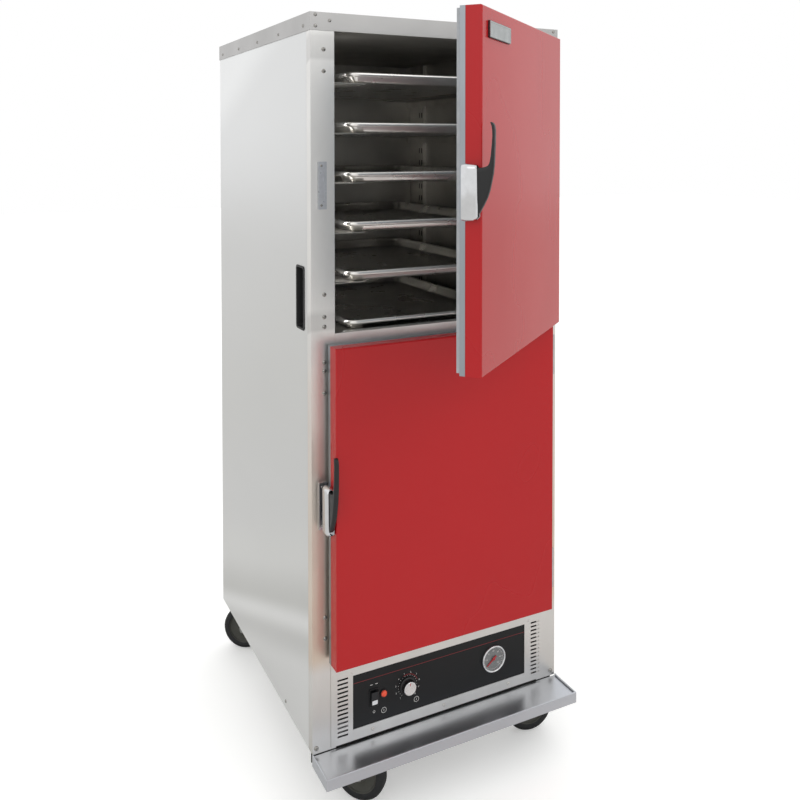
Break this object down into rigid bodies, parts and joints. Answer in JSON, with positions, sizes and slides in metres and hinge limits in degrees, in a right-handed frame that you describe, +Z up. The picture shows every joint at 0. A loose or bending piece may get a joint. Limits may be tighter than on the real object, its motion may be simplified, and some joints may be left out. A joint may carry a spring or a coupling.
{
  "type": "food holding cabinet",
  "caption": "Tall heated holding cabinet on casters with two red hinged doors, sheet pans on slides, a black control fascia and a front drip tray.",
  "frame": {"origin": "floor level under the middle of the overall box, doors as at rest (upper door ajar)", "axes": "front faces -Y, +X to the right seen from the front, +Z up"},
  "size_m": [0.6886, 1.2798, 1.851],
  "materials": {
    "base_frame": "galvanised steel sheet",
    "left_front_post": "satin aluminium",
    "right_front_post": "satin aluminium",
    "left_side_panel": "satin aluminium sheet over insulation",
    "right_side_panel": "satin aluminium sheet over insulation",
    "rear_panel": "satin aluminium sheet over insulation",
    "left_liner": "brushed stainless",
    "right_liner": "brushed stainless",
    "rear_liner": "brushed stainless",
    "floor_panel": "brushed stainless over insulation",
    "ceiling_panel": "brushed stainless over insulation",
    "middle_rail": "satin aluminium",
    "top_cap": "satin aluminium",
    "drip_tray": "satin aluminium",
    "fascia": "satin aluminium",
    "control_panel": "black overlay",
    "thermostat_knob": "black knob with a bright cap",
    "power_switch": "black rocker",
    "pilot_lamp": "amber lens",
    "thermometer_case": "stainless bezel and dial",
    "thermometer_needle": "red needle",
    "heating_element": "dark sheathed element",
    "blower_wheel": "plated steel",
    "cord_gland": "black nylon",
    "left_slide_rack": "stainless",
    "right_slide_rack": "stainless",
    "sheet_pan_1": "satin aluminium sheet",
    "sheet_pan_2": "satin aluminium sheet",
    "sheet_pan_3": "satin aluminium sheet",
    "sheet_pan_4": "satin aluminium sheet",
    "sheet_pan_5": "satin aluminium sheet",
    "sheet_pan_6": "satin aluminium sheet",
    "upper_door_skin": "red enamel",
    "upper_door_panel": "satin aluminium",
    "upper_door_gasket": "silicone",
    "upper_latch_body": "polished chrome",
    "upper_latch_lever": "black nylon",
    "upper_strike": "polished chrome",
    "upper_door_lower_hinge_frame_leaf": "stainless",
    "upper_door_lower_hinge_door_leaf": "stainless",
    "upper_door_upper_hinge_frame_leaf": "stainless",
    "upper_door_upper_hinge_door_leaf": "stainless",
    "lower_door_skin": "red enamel",
    "lower_door_panel": "satin aluminium",
    "lower_door_gasket": "silicone",
    "lower_latch_body": "polished chrome",
    "lower_latch_lever": "black nylon",
    "lower_strike": "polished chrome",
    "lower_door_lower_hinge_frame_leaf": "stainless",
    "lower_door_lower_hinge_door_leaf": "stainless",
    "lower_door_upper_hinge_frame_leaf": "stainless",
    "lower_door_upper_hinge_door_leaf": "stainless",
    "front_left_caster_fork": "zinc-plated steel",
    "front_left_caster_wheel": "black polyurethane tread on a dark hub",
    "front_right_caster_fork": "zinc-plated steel",
    "front_right_caster_wheel": "black polyurethane tread on a dark hub",
    "rear_left_caster_fork": "zinc-plated steel",
    "rear_left_caster_wheel": "black polyurethane tread on a dark hub",
    "rear_right_caster_fork": "zinc-plated steel",
    "rear_right_caster_wheel": "black polyurethane tread on a dark hub"
  },
  "bodies": {
    "cabinet": {"base_frame": "base_frame", "left_front_post": "left_front_post", "right_front_post": "right_front_post", "left_side_panel": "left_side_panel", "right_side_panel": "right_side_panel", "rear_panel": "rear_panel", "left_liner": "left_liner", "right_liner": "right_liner", "rear_liner": "rear_liner", "floor_panel": "floor_panel", "ceiling_panel": "ceiling_panel", "middle_rail": "middle_rail", "top_cap": "top_cap", "drip_tray": "drip_tray", "fascia": "fascia", "control_panel": "control_panel", "pilot_lamp": "pilot_lamp", "thermometer_case": "thermometer_case", "heating_element": "heating_element", "cord_gland": "cord_gland", "left_slide_rack": "left_slide_rack", "right_slide_rack": "right_slide_rack", "upper_strike": "upper_strike", "upper_door_lower_hinge_frame_leaf": "upper_door_lower_hinge_frame_leaf", "upper_door_upper_hinge_frame_leaf": "upper_door_upper_hinge_frame_leaf", "lower_strike": "lower_strike", "lower_door_lower_hinge_frame_leaf": "lower_door_lower_hinge_frame_leaf", "lower_door_upper_hinge_frame_leaf": "lower_door_upper_hinge_frame_leaf"},
    "upper_door": {"upper_door_skin": "upper_door_skin", "upper_door_panel": "upper_door_panel", "upper_door_gasket": "upper_door_gasket", "upper_latch_body": "upper_latch_body", "upper_door_lower_hinge_door_leaf": "upper_door_lower_hinge_door_leaf", "upper_door_upper_hinge_door_leaf": "upper_door_upper_hinge_door_leaf"},
    "upper_lever": {"upper_latch_lever": "upper_latch_lever"},
    "lower_door": {"lower_door_skin": "lower_door_skin", "lower_door_panel": "lower_door_panel", "lower_door_gasket": "lower_door_gasket", "lower_latch_body": "lower_latch_body", "lower_door_lower_hinge_door_leaf": "lower_door_lower_hinge_door_leaf", "lower_door_upper_hinge_door_leaf": "lower_door_upper_hinge_door_leaf"},
    "lower_lever": {"lower_latch_lever": "lower_latch_lever"},
    "thermostat_knob": {"thermostat_knob": "thermostat_knob"},
    "power_switch": {"power_switch": "power_switch"},
    "thermometer_needle": {"thermometer_needle": "thermometer_needle"},
    "blower_wheel": {"blower_wheel": "blower_wheel"},
    "sheet_pan_1": {"sheet_pan_1": "sheet_pan_1"},
    "sheet_pan_2": {"sheet_pan_2": "sheet_pan_2"},
    "sheet_pan_3": {"sheet_pan_3": "sheet_pan_3"},
    "sheet_pan_4": {"sheet_pan_4": "sheet_pan_4"},
    "sheet_pan_5": {"sheet_pan_5": "sheet_pan_5"},
    "sheet_pan_6": {"sheet_pan_6": "sheet_pan_6"},
    "front_left_swivel": {"front_left_caster_fork": "front_left_caster_fork"},
    "front_left_wheel": {"front_left_caster_wheel": "front_left_caster_wheel"},
    "front_right_swivel": {"front_right_caster_fork": "front_right_caster_fork"},
    "front_right_wheel": {"front_right_caster_wheel": "front_right_caster_wheel"},
    "rear_left_swivel": {"rear_left_caster_fork": "rear_left_caster_fork"},
    "rear_left_wheel": {"rear_left_caster_wheel": "rear_left_caster_wheel"},
    "rear_right_swivel": {"rear_right_caster_fork": "rear_right_caster_fork"},
    "rear_right_wheel": {"rear_right_caster_wheel": "rear_right_caster_wheel"}
  },
  "joints": [
    {"name": "upper_door_hinge", "type": "hinge", "parent": "cabinet", "child": "upper_door", "pos_m": [0.29531, -0.20681, 1.46025], "axis": [0, 0, 1], "range_deg": [-39.1, 140]},
    {"name": "lower_door_hinge", "type": "hinge", "parent": "cabinet", "child": "lower_door", "pos_m": [0.29531, -0.20681, 0.73055], "axis": [0, 0, 1], "range_deg": [0, 179]},
    {"name": "upper_latch_pull", "type": "hinge", "parent": "upper_door", "child": "upper_lever", "pos_m": [-0.16404, -0.61097, 1.4235], "axis": [0.7753, 0.6316, 0], "range_deg": [0, 25], "stiffness_Nm_per_rad": 0.4},
    {"name": "lower_latch_pull", "type": "hinge", "parent": "lower_door", "child": "lower_lever", "pos_m": [-0.31609, -0.23001, 0.691], "axis": [1, 0, 0], "range_deg": [0, 25], "stiffness_Nm_per_rad": 0.4},
    {"name": "thermostat_turn", "type": "hinge", "parent": "cabinet", "child": "thermostat_knob", "pos_m": [-0.09939, -0.18191, 0.2461], "axis": [0, -1, 0], "range_deg": [-210, 60]},
    {"name": "power_rocker", "type": "hinge", "parent": "cabinet", "child": "power_switch", "pos_m": [-0.18809, -0.17841, 0.243], "axis": [1, 0, 0], "range_deg": [-12, 0]},
    {"name": "thermometer_pointer", "type": "hinge", "parent": "cabinet", "child": "thermometer_needle", "pos_m": [0.14321, -0.17831, 0.2481], "axis": [0, -1, 0], "range_deg": [-255, 15]},
    {"name": "blower_spin", "type": "hinge", "parent": "cabinet", "child": "blower_wheel", "pos_m": [-0.00429, 0.22429, 0.27], "axis": [0, 0, 1], "continuous": true},
    {"name": "sheet_pan_1_slide", "type": "slide", "parent": "cabinet", "child": "sheet_pan_1", "axis": [0, -1, 0], "range_m": [-0.0795, 0.048]},
    {"name": "sheet_pan_2_slide", "type": "slide", "parent": "cabinet", "child": "sheet_pan_2", "axis": [0, -1, 0], "range_m": [-0.0725, 0.055]},
    {"name": "sheet_pan_3_slide", "type": "slide", "parent": "cabinet", "child": "sheet_pan_3", "axis": [0, -1, 0], "range_m": [-0.0715, 0.056]},
    {"name": "sheet_pan_4_slide", "type": "slide", "parent": "cabinet", "child": "sheet_pan_4", "axis": [0, -1, 0], "range_m": [-0.0655, 0.062]},
    {"name": "sheet_pan_5_slide", "type": "slide", "parent": "cabinet", "child": "sheet_pan_5", "axis": [0, -1, 0], "range_m": [-0.0705, 0.057]},
    {"name": "sheet_pan_6_slide", "type": "slide", "parent": "cabinet", "child": "sheet_pan_6", "axis": [0, -1, 0], "range_m": [-0.064, 0]},
    {"name": "front_left_caster_swivel", "type": "hinge", "parent": "cabinet", "child": "front_left_swivel", "pos_m": [-0.24429, -0.12271, 0.14], "axis": [0, 0, 1], "continuous": true},
    {"name": "front_left_wheel_spin", "type": "hinge", "parent": "front_left_swivel", "child": "front_left_wheel", "pos_m": [-0.21418, -0.15615, 0.0635], "axis": [0.7431, 0.6691, 0], "continuous": true},
    {"name": "front_right_caster_swivel", "type": "hinge", "parent": "cabinet", "child": "front_right_swivel", "pos_m": [0.23571, -0.12271, 0.14], "axis": [0, 0, 1], "continuous": true},
    {"name": "front_right_wheel_spin", "type": "hinge", "parent": "front_right_swivel", "child": "front_right_wheel", "pos_m": [0.28002, -0.13053, 0.0635], "axis": [0.1736, 0.9848, 0], "continuous": true},
    {"name": "rear_left_caster_swivel", "type": "hinge", "parent": "cabinet", "child": "rear_left_swivel", "pos_m": [-0.24429, 0.56529, 0.14], "axis": [0, 0, 1], "continuous": true},
    {"name": "rear_left_wheel_spin", "type": "hinge", "parent": "rear_left_swivel", "child": "rear_left_wheel", "pos_m": [-0.28023, 0.59237, 0.0635], "axis": [-0.6018, -0.7986, 0], "continuous": true},
    {"name": "rear_right_caster_swivel", "type": "hinge", "parent": "cabinet", "child": "rear_right_swivel", "pos_m": [0.23571, 0.56529, 0.14], "axis": [0, 0, 1], "continuous": true},
    {"name": "rear_right_wheel_spin", "type": "hinge", "parent": "rear_right_swivel", "child": "rear_right_wheel", "pos_m": [0.27799, 0.58068, 0.0635], "axis": [-0.342, 0.9397, 0], "continuous": true}
  ]
}
